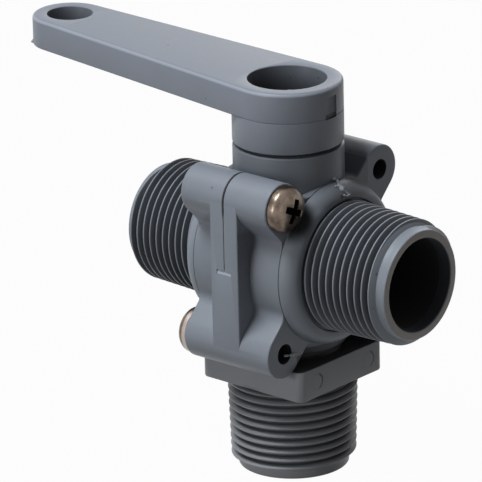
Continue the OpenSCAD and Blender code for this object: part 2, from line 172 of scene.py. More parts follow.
# A finished piece: its mesh in place, smooth but for its sharp edges, on its body, for its CAD nodes
def finishPiece(name, mesh, material, body, nodes=(), sharp=34):
    mesh.polygons.foreach_set("use_smooth", np.ones(len(mesh.polygons), bool))
    mesh.set_sharp_from_angle(angle=np.radians(sharp))
    mesh.materials.clear()
    mesh.materials.append(material)
    piece = linked(name, mesh)
    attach(piece, body)
    if nodes:
        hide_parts(*nodes)
    print(f"  {name}: {len(mesh.polygons)} faces")


# A copy of a mesh, its points carried by a matrix
def moved(mesh, matrix):
    copy = mesh.copy()
    copy.transform(matrix)
    return copy


# Shader maths: a socket with Python's operators
class Wire:
    def __init__(self, tree, socket):
        self.tree, self.socket = tree, socket

    # Links a wire to a socket, or sets the socket's value, a colour with full alpha
    def feed(self, value, socket):
        if isinstance(value, Wire):
            self.tree.links.new(value.socket, socket)
        else:
            socket.default_value = (*value, 1) if socket.type == "RGBA" else value

    def node(self, kind, settings, *values, **named):
        made = self.tree.nodes.new(kind)
        for key, value in settings.items():
            setattr(made, key, value)
        for key, value in [*enumerate(values), *named.items()]:
            self.feed(value, made.inputs[key])
        return Wire(self.tree, made.outputs[0])

    def maths(self, operation, *values):
        return self.node("ShaderNodeMath", {"operation": operation}, *values)

    def __add__(self, other):
        return self.maths("ADD", self, other)

    def __sub__(self, other):
        return self.maths("SUBTRACT", self, other)

    def __rsub__(self, other):
        return self.maths("SUBTRACT", other, self)

    def __mul__(self, other):
        return self.maths("MULTIPLY", self, other)

    # The order doesn't matter to these two.
    __radd__ = __add__
    __rmul__ = __mul__

    def __truediv__(self, other):
        return self.maths("DIVIDE", self, other)

    def __pow__(self, other):
        return self.maths("POWER", self, other)

    def parts(self):
        split = self.tree.nodes.new("ShaderNodeSeparateXYZ")
        self.tree.links.new(self.socket, split.inputs[0])
        return [Wire(self.tree, out) for out in split.outputs]

    # Eased step from 0 to 1 as the value goes from low to high
    def between(self, low, high):
        eased = {"interpolation_type": "SMOOTHSTEP"}
        return self.node("ShaderNodeMapRange", eased, self, low, high, 0.0, 1.0)

    # 1 past a place, with a soft edge
    def past(self, place, soft=0.1):
        return self.between(place - soft, place + soft)

    # 1 between low and high, with soft edges
    def within(self, low, high, soft=0.05):
        return self.past(low, soft) * (1 - self.past(high, soft))

    def size(self):
        return self.maths("ABSOLUTE", self)

    # Two colours mixed, the second by this share
    def mixed(self, first, second):
        made = self.tree.nodes.new("ShaderNodeMix")
        made.data_type = "RGBA"
        for place, value in ((0, self), (6, first), (7, second)):
            self.feed(value, made.inputs[place])
        return Wire(self.tree, made.outputs[2])


# A new material with its shader's fixed values, and a wire on Object coordinates to start expressions from
def newMaterial(name, constants):
    material = bpy.data.materials.new(name)
    material.use_nodes = True
    tree = material.node_tree
    for key, value in constants.items():
        tree.nodes["Principled BSDF"].inputs[key].default_value = value
    return material, Wire(tree, tree.nodes.new("ShaderNodeTexCoord").outputs["Object"])


# Gives a material its tone, its roughness and a bump from a height
def dress(material, tone, rough, height, strength, distance):
    inputs = material.node_tree.nodes["Principled BSDF"].inputs
    bump = height.node("ShaderNodeBump", {}, Strength=strength, Distance=distance, Height=height)
    for key, value in (("Base Color", tone), ("Roughness", rough), ("Normal", bump)):
        height.feed(value, inputs[key])
    return material


# Distance from an axis: (first^2 + second^2)^0.5
def spread(first, second):
    return (first ** 2 + second ** 2) ** 0.5


def noise(place, scale, detail=4.0, roughness=0.55):
    return place.node("ShaderNodeTexNoise", {"noise_dimensions": "3D"}, Vector=place, Scale=scale,
                      Detail=detail, Roughness=roughness)


# Pipe thread, cut on every port
thread = {
    "crestRadius": 13.025,  # at the port's end
    "depth": 1.2,
    "pitch": 1.814,
    "taper": 0.03125,  # radius gained per mm of length
    "firstCrest": 3.884,  # on the run ports
    "branchCrest": 3.034,
    "crests": 10,
    "fadeOut": 0.5,
    "offsets": (-0.45, -0.105, -0.065, 0.0, 0.065, 0.105, 0.45),  # in pitches, across one crest
    "heights": (0.0, 0.92, 0.985, 1.0, 0.985, 0.92, 0.0),
    "noseRadius": 11.55,
    "noseEdge": 0.25,
    "threadStart": 0.9,
    "leadIn": (1.55, 2.0),  # the ridge rises between these distances of its crest from the port's end
    "rootRise": (1.2, 3.6),  # its root rises from the nose's radius between these
    "boreRadius": 9.75,
    "boreDepth": 15.0,
    "throatRadius": 8.3,
    "throatCone": 3.0,
    "shadeEnd": (19.9, 20.3),  # from the port's end, where the grooves' painted shade fades
    "faceEdge": (0.02, 0.06),  # from the port's end, where the painted warm light on the end face fades
    "boreEdge": (0.05, 0.2),  # beyond the bore's radius, where its painted shade fades
}


# Painted shade in a port's thread grooves, by their depth below the crests, from the radius across and the
# distance from the port's end, beyond its plain start; painted warm light on its end face; and painted shade
# in its bore. Gives the tone and 1 inside the bore.
def portShade(tone, across, fromEnd, start, look):
    t = thread
    depth = t["crestRadius"] + t["taper"] * fromEnd - across
    onThread = (fromEnd - start).past(0) * (1 - fromEnd.between(*t["shadeEnd"]))
    groove = depth.between(*look["groove"]) * onThread * look["grooveShade"]
    tone = groove.mixed(tone, look["inside"])
    # painted warm light on the port's end face
    endFace = (1 - fromEnd.between(*t["faceEdge"])) * 0.8
    tone = endFace.mixed(tone, look["cutFace"])
    # painted shade in the bore
    bore = 1 - (across - t["boreRadius"]).between(*t["boreEdge"])
    return (bore * (0.8 + 0.2 * fromEnd.between(1.0, 6.0))).mixed(tone, look["inside"]), bore


# Places of a body half's marks in mm from the ball's centre: x along the run, y to the back, z up. A pair
# gives where a mark starts to fade and where it ends.
bodyMarks = {
    "threadStart": 1.8,  # painted shade in the grooves begins this far from the left port's end
    "rightStart": 1.2,  # and this much further on the right
    "screwHole": 2.15,  # radius of the painted shade in a screw hole
    "lip": 13.95,  # radius beyond which the shoulder's lip is shaded
    "lipX": (13.0, 14.95),
    "neck": (13.0, 14.5),  # foot of the neck, over which its painted shade grows in
    "neckRadius": 11.7,
    "stub": -17.4,  # painted shade below this height, on the stub over the branch port's collar
    "stubSide": (11.6, 12.0),
    "seamTop": 14.0,  # the parting line's painted shade is bold above this
    "seamLow": 1.4,
    "seamFront": (13.0, 14.0),
    # a dark spot beside the shoulder's flash, at (y, z), and its size
    "darkSpot": (-0.75, 14.9),
    "darkSpotSize": (0.3, 0.6),
    "cornerX": 3.6,  # painted shade in the housing's corner with the strap
    "cornerFade": (3.8, 6.0),
    "cornerFront": (13.0, 15.0),
    "cornerZ": (-9.0, 8.0, 9.0, 11.0),  # it rises over the first two and sinks over the others
    "headX": 11.5,  # the painted shadow beside the front upper screw's head lies beyond this
    "headDark": (5.7, 8.4),  # and fades between these distances from the screw's axis
    # painted highlight on the notch in the strap: its stretch of x and z
    "notchX": (-2.04, 1.84),
    "notchZ": (0.45, 1.15),
}


# Body half: painted shade in its port's grooves and bore, in the screw holes, on the neck, the shoulder's lip
# and the stub, along the parting line on the front, in the corner where the housing meets the strap on the
# right and as a shadow beside the front upper screw's head; painted warm light on the port's end face; a
# painted highlight on the notch in the strap; and a dark spot beside the flash.
def runMarks(tone, x, y, above, look):
    m = bodyMarks
    along, aside = x.size(), y.size()
    start = m["threadStart"] + m["rightStart"] * x.between(-1.0, 1.0)
    tone, hidden = portShade(tone, spread(y, above), runHalf - along, start, look)
    fromScrew = spread(aside - lugY, above.size() - lugZ)
    inHole = 1 - fromScrew.past(m["screwHole"], 0.05)
    lip = along.between(*m["lipX"]) * spread(y, above).between(m["lip"], m["lip"] + 0.15)
    neck = above.between(*m["neck"]) * (1 - aside.past(m["neckRadius"]))
    stub = (m["stub"] - above).past(0, 0.2) * (1 - aside.between(*m["stubSide"]))
    seamWidth = 0.12 + 0.18 * above.between(12.0, 14.5)
    seam = (1 - (along - seamWidth).past(0, 0.06)) * (0 - y).between(*m["seamFront"])
    seam = seam * above.past(m["seamLow"])
    seam = seam * (0.4 + 0.45 * above.between(m["seamTop"] - 3.0, m["seamTop"]))
    darkSpot = 1 - spread(y - m["darkSpot"][0], above - m["darkSpot"][1]).between(*m["darkSpotSize"])
    darkSpot = darkSpot * x.between(14.0, 14.4)
    corner = x.past(m["cornerX"]) * (1 - x.between(*m["cornerFade"])) * (0 - y).between(*m["cornerFront"])
    corner = corner * above.between(*m["cornerZ"][:2]) * (1 - above.between(*m["cornerZ"][2:]))
    byHead = 1 - spread(0 - y - lugY, above - lugZ).between(*m["headDark"])
    byHead = byHead * x.between(m["headX"], m["headX"] + 0.7)
    # painted shade under each mask, at its strength
    for mask, shade in ((lip, look["lipShade"]), (neck, look["neckShade"]), (stub, 0.85), (seam, 1.0),
                        (darkSpot, 0.9), (corner, 0.4), (byHead, look["headShade"]), (inHole, 1.0)):
        tone = (mask * shade).mixed(tone, look["inside"])
    # painted highlight on the notch's ledge
    notch = x.within(*m["notchX"]) * above.within(*m["notchZ"], 0.1) * (0 - y).past(20.0)
    return (notch * look["notchShine"]).mixed(tone, look["shine"]), hidden + inHole + byHead


# Places of the branch port's marks in mm, heights from its end
portMarks = {
    "threadStart": 2.3,  # painted shade in the grooves begins this far from the port's end
    "pins": (-8.0, 8.5),  # centres of the ejector pins' marks along the collar's side
    "pinHeight": 22.9,
    "pinRadius": 1.65,
    "pinLine": 0.24,  # half width of a mark's line, at half its strength
    "collarSide": 13.4,
    "collarTop": 26.0,
}


# Branch port: painted shade in its thread grooves and bore, painted shade on the top of its collar, and the
# round marks of two ejector pins on the collar's side, drawn as lines of painted shade that are darker along
# their right edge.
def branchMarks(tone, x, y, above, look):
    m = portMarks
    z = above + ballHeight
    tone, hidden = portShade(tone, spread(x, y), z, m["threadStart"], look)
    onSide = x.past(m["collarSide"])
    # painted shade along each ejector pin's mark, darker on its right
    for place in m["pins"]:
        edge = (spread(y - place, z - m["pinHeight"]) - m["pinRadius"]).size()
        line = 1 - edge.past(m["pinLine"])
        ring = line * onSide * (0.08 + 0.85 * (y - place).between(0.0, 1.2))
        tone = ring.mixed(tone, look["inside"])
    # painted shade on the collar's top
    top = z.between(m["collarTop"] - 0.02, m["collarTop"] + 0.04) * 0.85
    return top.mixed(tone, look["inside"]), hidden


# Places of the handle's marks in mm, heights from the branch port's end
leverMarks = {
    "edge": (83.45, 83.95),  # heights of the painted highlight along the top edge
    "gateX": 10.5,
    "gateY": (-1.45, 2.05),
    "gateZ": (77.45, 82.1),
    "gateFoot": 78.35,  # the painted shade in the patch is darkest below this
}


# Handle: painted shade in the recess and the end hole, darker deeper down, a small dark spot, a painted
# highlight along its top edge, and painted shade in the gate's patch on the hub, darkest at its foot.
def handleMarks(tone, x, y, above, look):
    m = leverMarks
    z = above + ballHeight
    # painted highlight along the top edge
    rub = z.within(*m["edge"], 0.08) * look["rub"]
    for wellX, wellY, radius, shade in look["wells"]:
        away = spread(x - wellX, y - wellY)
        rub = rub * away.between(radius + 0.35, radius + 0.5)
        # painted shade in each well, darker deeper down
        well = (1 - away.between(radius, radius + 0.04)) * (shade + 0.35 * (1 - z.between(76.0, 83.0)))
        tone = well.mixed(tone, look["inside"])
    # painted shade in the gate's patch, darker towards larger y and darkest at its foot
    low, high = m["gateZ"]
    patch = x.past(m["gateX"]) * y.within(*m["gateY"])
    patch = patch * z.past(low, 0.05) * (1 - z.past(high))
    foot = 1 - z.past(m["gateFoot"], 0.25)
    for mask in (patch * y.between(-2.0, 0.6) * 0.4, patch * foot * 0.92):
        tone = mask.mixed(tone, look["inside"])
    return rub.mixed(tone, look["shine"]), 0 * above


# Moulded plastic: slow changes of tone, fine pitting, faint scuffs, a few dark specks, and the piece's marks,
# most of them painted shade and painted highlights
def mouldedPlastic(name, look):
    material, place = newMaterial(name, {"Metallic": 0.0, "Specular IOR Level": look["gloss"], "IOR": 1.49})
    cloud = noise(place, look["cloudScale"], 3.0).between(0.3, 0.7)
    grain = noise(place, look["grainScale"], 3.0, 0.6)
    speck = noise(place, look["speckScale"], 1.0, 0.3).between(0.80, 0.82)
    scuff = noise(place, look["scuffScale"], 5.0, 0.7).between(0.60, 0.72)
    tone = cloud.mixed(look["dark"], look["light"])
    tone = (scuff * 0.14).mixed(tone, look["scuffed"])
    tone = (speck * 0.5).mixed(tone, look["speck"])
    rough = look["rough"] + 0.10 * grain + 0.08 * cloud - 0.06 * scuff
    if look["marks"]:
        x, y, z = [part * 1000 for part in place.parts()]
        tone, hidden = look["marks"](tone, x, y, z - ballHeight, look)
        rough = rough + 0.55 * hidden
    height = grain + 0.35 * noise(place, look["grainScale"] * 3.1, 2.0) - 0.5 * speck
    return dress(material, tone, rough, height, look["bump"], look["depth"])


# Marks of a body screw: the painted shade in its recess, with the recess's edge, least depth under the dome
# and height over the seat, and the painted highlight on its cheek, with its share and stretch of x with the
# fade at its ends
screwMarks = {
    "recess": (0.003, 0.003, 0.003),
    "recessEdge": (2.85, 3.0),
    "recessDepth": (0.12, 0.3),
    "recessFoot": (0.2, 0.4),
    "cheekHighlight": (0.50, 0.44, 0.40),
    "cheekHighlightShare": 0.8,
    "cheekHighlightX": (-12.55, -11.0, 0.25),
}


# 1 in the cross recess of a body screw, where shade is painted: below the head's dome, whose height over its
# seat is cheek + (head height - cheek) * (1 - (radius / head radius)^2.5)^0.5
def crossRecess(place, marks):
    x, y, z = [part * 1000 for part in place.parts()]
    off = spread(y.size() - lugY, (z - ballHeight).size() - lugZ)
    rise = x.size() - lugHalf
    share = (off / headRadius) ** 2.5
    dome = headCheek + (headHeight - headCheek) * (1 - share.maths("MINIMUM", share, 1.0)) ** 0.5
    inEdge = 1 - off.between(*marks["recessEdge"])
    return inEdge * (dome - rise).between(*marks["recessDepth"]) * rise.between(*marks["recessFoot"])


# Metal, rubber and resin: a slow change of tone and a fine roughness; on the body screws also a painted
# highlight on the cheek on the left of the valve and painted shade in the cross recess
def plainFinish(name, look, marks):
    material, place = newMaterial(name, {"Metallic": look["metal"]})
    cloud = noise(place, look["scale"], 4.0).between(0.3, 0.7)
    tone = cloud.mixed(look["dark"], look["light"])
    fine = noise(place, look["scale"] * 9, 3.0)
    rough = look["rough"] + 0.12 * fine
    if marks:
        # painted highlight on the cheek
        cheekHighlight = (place.parts()[0] * 1000).within(*marks["cheekHighlightX"]) * marks["cheekHighlightShare"]
        tone = cheekHighlight.mixed(tone, marks["cheekHighlight"])
        # painted shade in the cross recess
        recess = crossRecess(place, marks)
        tone = recess.mixed(tone, marks["recess"])
        rough = rough + 0.4 * recess
    return dress(material, tone, rough, fine, look["bump"], 0.0001)


# The body's plastic. The others are like it but for what they name.
bodyLook = {
    "dark": (0.178, 0.194, 0.220),
    "light": (0.203, 0.221, 0.250),
    "scuffed": (0.27, 0.29, 0.32),
    "speck": (0.05, 0.05, 0.055),
    # colour of all painted shade
    "inside": (0.004, 0.004, 0.005),
    # colour of the painted highlights
    "shine": (0.40, 0.43, 0.50),
    # painted warm light on the ports' end faces
    "cutFace": (0.36, 0.335, 0.315),
    "gloss": 0.25,
    "rough": 0.34,
    "cloudScale": 45.0,  # scales are per metre
    "grainScale": 1500.0,
    "speckScale": 700.0,
    "scuffScale": 420.0,
    "bump": 0.35,
    "depth": 0.00006,  # of the bump, in metres
    "groove": (0.02, 0.17),  # depths below the crests over which the painted shade in a groove deepens
    "grooveShade": 0.76,
    # strengths of the painted shade on the shoulder's lip, the neck and beside the front upper screw's head,
    # and of the painted highlight on the notch
    "lipShade": 0.06,
    "neckShade": 0.38,
    "headShade": 0.93,
    "notchShine": 0.75,
    "marks": runMarks,
}
# Each well is (x, y, radius, darkness): painted shade in the recess and the end hole, and a small dark spot.
# The top edge gets a painted highlight of the strength given next to the marks.
handleLook = dict(bodyLook, dark=(0.183, 0.198, 0.228), light=(0.200, 0.216, 0.248),
                  marks=handleMarks, rub=0.35,
                  wells=((0, 0, 8.22, 0.55), (-65.56, 5.62, 4.87, 0.48), (-33.8, 1.35, 0.2, 0.6)))
branchLook = dict(bodyLook, dark=(0.215, 0.223, 0.236), light=(0.240, 0.249, 0.262),
                  marks=branchMarks, groove=(0.1, 1.15), grooveShade=0.8)
flashLook = dict(bodyLook, dark=(0.26, 0.28, 0.31), light=(0.36, 0.38, 0.42), marks=None)
bodyPlastic = mouldedPlastic("bodyPlastic", bodyLook)
handlePlastic = mouldedPlastic("handlePlastic", handleLook)
branchPlastic = mouldedPlastic("branchPlastic", branchLook)
flashPlastic = mouldedPlastic("flashPlastic", flashLook)

# Plain finishes by slot, in the order of plainColumns
plainColumns = ("dark", "light", "metal", "rough", "scale", "bump")
plainLooks = {
    "stem_plastic": ((0.10, 0.11, 0.12), (0.13, 0.14, 0.15), 0.0, 0.35, 120.0, 0.3),
    "ball_resin": ((0.030, 0.031, 0.033), (0.045, 0.046, 0.05), 0.0, 0.22, 80.0, 0.1),
    "seat_resin": ((0.76, 0.75, 0.72), (0.84, 0.83, 0.80), 0.0, 0.30, 90.0, 0.1),
    "seal_rubber": ((0.012, 0.012, 0.013), (0.025, 0.025, 0.026), 0.0, 0.45, 200.0, 0.4),
    "screw_steel": ((0.085, 0.064, 0.048), (0.20, 0.158, 0.128), 1.0, 0.24, 400.0, 0.25),
}
finishes = {}
for slot, values in plainLooks.items():
    first, second = slot.split("_")
    marks = screwMarks if slot == "screw_steel" else None
    finishes[slot] = plainFinish(first + second.title(), dict(zip(plainColumns, values)), marks)
for part in frame["record"]["subparts"]:
    node = frame["nodes"][part["node"]]
    if part["material_slot"] in finishes:
        node.data.materials.clear()
        node.data.materials.append(finishes[part["material_slot"]])
print("finishes made")


# Rows that follow the helix of a port's thread. The crest of turn n lies at the distance
# c = first crest + pitch * (n - angle / full turn) from the port's end, and row k of that turn at
# s = c + pitch * offset k, held between the thread's two ends. Its radius is the root's at s plus
# depth * height k, with the ridge rising as c leaves the nose and sinking at the far end.
def threadRows(angle, end, first):
    t = thread
    turns = np.arange(-2, t["crests"] + 2)
    crest = first + t["pitch"] * (np.repeat(turns, len(t["offsets"]))[:, None] - angle[None] / fullTurn)
    s = crest + t["pitch"] * np.tile(t["offsets"], len(turns))[:, None]
    s = np.clip(s, t["threadStart"], end)
    height = np.tile(t["heights"], len(turns))[:, None] * ease(crest, *t["leadIn"])
    height = height * ease(-s, -end, t["fadeOut"] - end)
    root = t["crestRadius"] - t["depth"] + t["taper"] * s
    root = t["noseRadius"] + (root - t["noseRadius"]) * ease(s, *t["rootRise"])
    crestRadius = t["crestRadius"] + t["taper"] * s
    return s, root + (crestRadius - root) * height


# Rows from the thread over the port's plain nose, round its edge, to the middle of its end face
def noseRows(angle):
    t = thread
    inset, s = roundedEnd(0.0, t["noseEdge"], -1)
    s = np.concatenate([s, [0.0]])
    radius = t["noseRadius"] - np.concatenate([inset, [t["noseRadius"]]])
    flat = np.ones_like(angle)
    return s[:, None] * flat, radius[:, None] * flat


body = {
    "housing": 17.3,  # radius
    "lugRadius": 5.25,
    "lugEdge": 0.3,
    "webFillet": 2.5,
    "crease": 0.17,  # depth of the line between housing and shoulder
    # (distance from the ball's centre, radius) along the shoulder, down to the thread
    "shoulder": ((11.64, 17.28), (12.1, 17.23), (12.6, 17.12), (13.0, 16.98), (13.4, 16.79), (13.7, 16.61),
                 (13.95, 16.42), (14.2, 16.19), (14.4, 15.97), (14.58, 15.72), (14.73, 15.45), (14.84, 15.15),
                 (14.92, 14.8), (14.96, 14.4), (14.97, 14.2), (14.92, 14.1), (14.6, 13.95), (14.2, 13.92)),
    "seam": 0.15,  # half width of the parting line
    "seamDepth": 0.35,
    "faintSeam": 0.02,  # its depth elsewhere
    "seamFoot": 1.3,  # on the front it is deep above this height over the ball's centre
    "lugBlend": (0.05, 0.9),  # beyond the housing, the stretch over which a lug's edge grows round
    "creaseX": (0.04, 0.11),  # beyond the lugs' seat
}


# Closed outline of the housing and its four lugs, seen along the run: arcs of the housing, a concave
# fillet to each web's straight side, and half a circle round each boss.
def lugOutline(b):
    aside = b["lugRadius"] + b["webFillet"]
    along = np.sqrt((b["housing"] + b["webFillet"]) ** 2 - aside ** 2)
    foot = np.arctan2(aside, along)
    far = np.hypot(lugY, lugZ)
    lean = np.arctan2(lugZ, lugY)
    directions = np.array([lean, np.pi - lean, np.pi + lean, fullTurn - lean])
    bend = np.pi - foot
    line = np.linspace(along, far, 8, endpoint=False)
    side = np.full_like(line, b["lugRadius"])
    lug = np.vstack([
        arc((along, -aside), b["webFillet"], bend, np.pi / 2, 9),
        np.stack([line, -side], -1),
        arc((far, 0), b["lugRadius"], -np.pi / 2, np.pi / 2, 40),
        np.stack([far - (line - along), side], -1),
        arc((along, aside), b["webFillet"], -np.pi / 2, -bend, 9),
    ])
    parts = []
    for place, direction in enumerate(directions):
        before = directions[place - 1] - (fullTurn if place == 0 else 0)
        parts.append(arc((0, 0), b["housing"], before + foot, direction - foot, 46))
        parts.append(turnPoints(lug, direction))
    return np.vstack([*parts, parts[0][:1]])


# Outer skin of one body half, as one grid: the lug outline carried along the run, drawn in to the housing
# at the lugs' end, then the shoulder, the thread and the nose as circles at the same angles.
def runGrid(b):
    outline = lugOutline(b)
    normal = outlineNormals(outline)
    reach = np.linalg.norm(outline, axis=1)
    angle = np.unwrap(np.arctan2(outline[:, 1], outline[:, 0]))
    circle = circleAt(angle)
    onLug = ease(reach - b["housing"], *b["lugBlend"])[:, None]
    upperFront = (outline[:, 0] < -lugY + 2) & (outline[:, 1] > b["seamFoot"])
    groove = np.where(upperFront, b["seamDepth"], b["faintSeam"])[:, None]
    sunk = outline - groove * normal
    rows = [(0.0, outline * 0), (0.0, sunk), (b["seam"], sunk), (b["seam"] + 0.02, outline),
            (lugHalf - 2 * b["lugEdge"], outline)]
    for inset, place in zip(*roundedEnd(lugHalf, b["lugEdge"], 1)):
        rows.append((place, outline - inset * onLug * normal))
    ending = rows[-1][1]
    creased = (b["housing"] - b["crease"]) * circle
    rows += [(lugHalf, ending + share * (creased - ending)) for share in (0.25, 0.5, 0.75, 0.92)]
    rows += [(lugHalf + place, creased) for place in b["creaseX"]]
    rows += [(place, radius * circle) for place, radius in b["shoulder"]]
    threadEnd = runHalf - b["shoulder"][-1][0]
    for s, radius in (threadRows(angle, threadEnd, thread["firstCrest"]), noseRows(angle)):
        order = slice(None, None, -1) if s[0, 0] < s[-1, 0] else slice(None)
        rows += [(runHalf - row, size[:, None] * circle) for row, size in zip(s[order], radius[order])]
    return stacked(rows)[..., [2, 0, 1]]


# Half of an upright cylinder on the right of the parting plane, with rounded rims: at the share t of a rim
# the radius falls by edge * (1 - (1 - t^2)^0.5) and the height moves by edge * t.
def halfDrum(radius, low, high, edge):
    half = arc((0, 0), radius, -np.pi / 2, np.pi / 2, 90, True)
    chord = np.column_stack([np.zeros(21), np.linspace(radius, -radius, 21)])[1:]
    outline = np.vstack([half, chord])
    share = np.array([1.0, 0.7, 0.35, 0.0])
    squeeze = 1 - edge / radius * (1 - np.sqrt(1 - share ** 2))
    sizes = np.concatenate([squeeze, squeeze[::-1]])
    heights = np.concatenate([low + edge * (1 - share), (high - edge * (1 - share))[::-1]])
    rows = [(z, outline * size) for size, z in zip(sizes, heights)]
    return stacked([(low, outline * 0), *rows, (high, outline * 0)])


bodyExtras = {
    "neckRadius": 11.55,
    "neckTop": 23.75,
    "neckEdge": 0.35,
    "stubLow": -19.0,
    "stubEdge": 0.3,
    "strapWidth": 3.65,
    "strapFront": 20.8,
    "strapBack": 12.0,
    "strapCorner": 0.3,
    "pocket": 12.3,  # radius of the seat ring's pocket
    "pocketFloor": 12.6,
    "stemBore": 6.05,
    "stemChamber": 8.45,
    "stemChamberTop": 17.2,
    "spigot": 10.15,
    "flangeRadius": 11.25,  # groove for the branch port's flange
    "flangeLow": -13.25,
    "flangeHigh": -11.35,
    "clearHole": 2.6,
    "pilotHole": 2.05,
    "holeRim": 0.15,
    "notch": (-2.04, 1.84, 0.15, 1.35, 0.45),  # left, right, low, high and depth
    "headPocket": 5.15,
    "seamStart": 1.25,
}


# Every point of a grid plus (x, y, z)
def moveGrid(grid, x=0.0, y=0.0, z=0.0):
    return grid + (x, y, z)


# The solids of a body half: its outer skin, half of the neck and of the collar, and two straps
def halfSolids(b, e):
    straps = []
    for front, back in ((-e["strapFront"], -e["strapBack"]), (e["strapBack"], e["strapFront"])):
        outline = roundedBox(-1.0, e["strapWidth"], front, back, e["strapCorner"])
        straps.append(block(outline, -lugZ, lugZ, 0.05))
    neck = halfDrum(e["neckRadius"], 0.0, e["neckTop"], e["neckEdge"])
    stub = halfDrum(e["neckRadius"], e["stubLow"], 0.0, e["stubEdge"])
    return [runGrid(b), neck, stub, *straps]


# Turned cutters of a body half: its waterway, the ball's chamber, the stem's bore and the branch's bore
def halfHollows(e):
    t = thread
    mouth, rim = runHalf, t["boreRadius"] + 0.3
    throat = mouth - t["boreDepth"] - t["throatCone"]
    waterway = turned([(0, -1), (e["pocket"], -1), (e["pocket"], e["pocketFloor"]),
                       (t["throatRadius"], e["pocketFloor"]), (t["throatRadius"], throat),
                       (t["boreRadius"], mouth - t["boreDepth"]), (t["boreRadius"], mouth - 0.3),
                       (rim, mouth + 0.01), (rim, mouth + 1), (0, mouth + 1)], 120, "x")
    stemTop = e["neckTop"] + 1
    stemHole = turned([(0, 0), (e["stemChamber"], 0), (e["stemChamber"], e["stemChamberTop"]),
                       (e["stemBore"], e["stemChamberTop"]), (e["stemBore"], stemTop), (0, stemTop)])
    low = e["stubLow"] - 1
    branchHole = turned([(0, low), (e["spigot"], low), (e["spigot"], e["flangeLow"]),
                         (e["flangeRadius"], e["flangeLow"]), (e["flangeRadius"], e["flangeHigh"]),
                         (e["spigot"], e["flangeHigh"]), (e["spigot"], 0), (0, 0)])
    return [waterway, chamberGrid(), stemHole, branchHole]


# Ball of the chamber: radius * (cos lat, sin lat) turned about the upright axis
def chamberGrid():
    lat = np.linspace(-np.pi / 2, np.pi / 2, 49)
    return turned(chamberRadius * circleAt(lat))


# Clear holes where a head sits and pilot holes where a screw bites, one through each boss
def screwHoles(e):
    holes = []
    for ySide, zSide in ((-1, 1), (1, -1), (-1, -1), (1, 1)):
        radius = e["clearHole"] if ySide != zSide else e["pilotHole"]
        wide = radius + e["holeRim"]
        hole = turned([(0, -1), (radius, -1), (radius, lugHalf - e["holeRim"]), (wide, lugHalf + 0.01),
                       (wide, lugHalf + 1.5), (0, lugHalf + 1.5)], 48, "x")
        holes.append(moveGrid(hole, 0, ySide * lugY, zSide * lugZ))
    return holes


# The wedge-shaped notch on each strap
def notchCutters(e):
    lowX, highX, lowZ, highZ, deep = e["notch"]
    notches = []
    for left, right, side in ((lowX, highX, -1), (-highX, -lowX, 1)):
        front = side * e["strapFront"]
        wedge = np.array([(front, lowZ), (front + side, lowZ), (front + side, highZ),
                          (front - side * deep, highZ), (front - side * (deep - 0.15), highZ - 0.12),
                          (front, lowZ)])
        middle = wedge.mean(0) * np.ones_like(wedge)
        notches.append(carried(wedge, [0, 0], [left, right], middle)[..., [2, 0, 1]])
    return notches


# Body half: its solids joined, less its hollows, holes, notches, pockets for the two screw heads, the deep
# stretch of the parting line, and all that lies past the parting plane
def halfMesh(b, e):
    pockets = []
    for ySide in (-1, 1):
        pocket = turned([(0, lugHalf), (e["headPocket"], lugHalf), (e["headPocket"], 20), (0, 20)], 72, "x")
        pockets.append(moveGrid(pocket, 0, ySide * lugY, -ySide * lugZ))
    beyond = block(roundedBox(-3, 0, -30, 30, 0.001), -25, 30, 0.001)
    front = -e["strapFront"]
    groove = roundedBox(-1, b["seam"], front - 1, front + b["seamDepth"], 0.02)
    seam = block(groove, e["seamStart"], lugZ, 0.01)
    return carve("bodyHalf", halfSolids(b, e), [*halfHollows(e), *screwHoles(e), *notchCutters(e), *pockets,
                                                seam, beyond])


atBall = Matrix.Translation((0, 0, ballHeight * mm))
halfTurn = Matrix.Rotation(np.pi, 4, "Z")
half = halfMesh(body, bodyExtras)
for name, place, node in (("bodyRight", atBall, "body_half_right"),
                          ("bodyLeft", atBall @ halfTurn, "body_half_left")):
    finishPiece(name, moved(half, place), bodyPlastic, "valve_body", [node])
print("body halves made")

branch = {
    "collarX": 13.6,
    "collarY": 13.2,
    "collarCorner": 1.6,
    "collarEdge": 0.35,
    "collarLow": 19.45,
    "collarHigh": 26.05,
    "spigot": 10.1,  # radius
    "spigotTop": 35.1,
    "throat": 7.6,  # radius of the waterway
    "ringGroove": (8.95, 28.2, 30.0),  # radius, low and high
}


# Radius of a square with round corners, at each direction from its centre: the nearer of the two flats, or
# at a corner the far crossing with the corner's circle.
def squareRadius(circle, b):
    ways = np.abs(circle)
    size = np.array([b["collarX"], b["collarY"]])
    corner = size - b["collarCorner"]
    flat = (size / np.maximum(ways, 1e-9)).min(1)
    dot = ways @ corner
    bend = dot + np.sqrt(np.maximum(dot ** 2 - corner @ corner + b["collarCorner"] ** 2, 0))
    inCorner = (ways * flat[:, None] > corner).all(1)
    return np.where(inCorner, bend, flat)


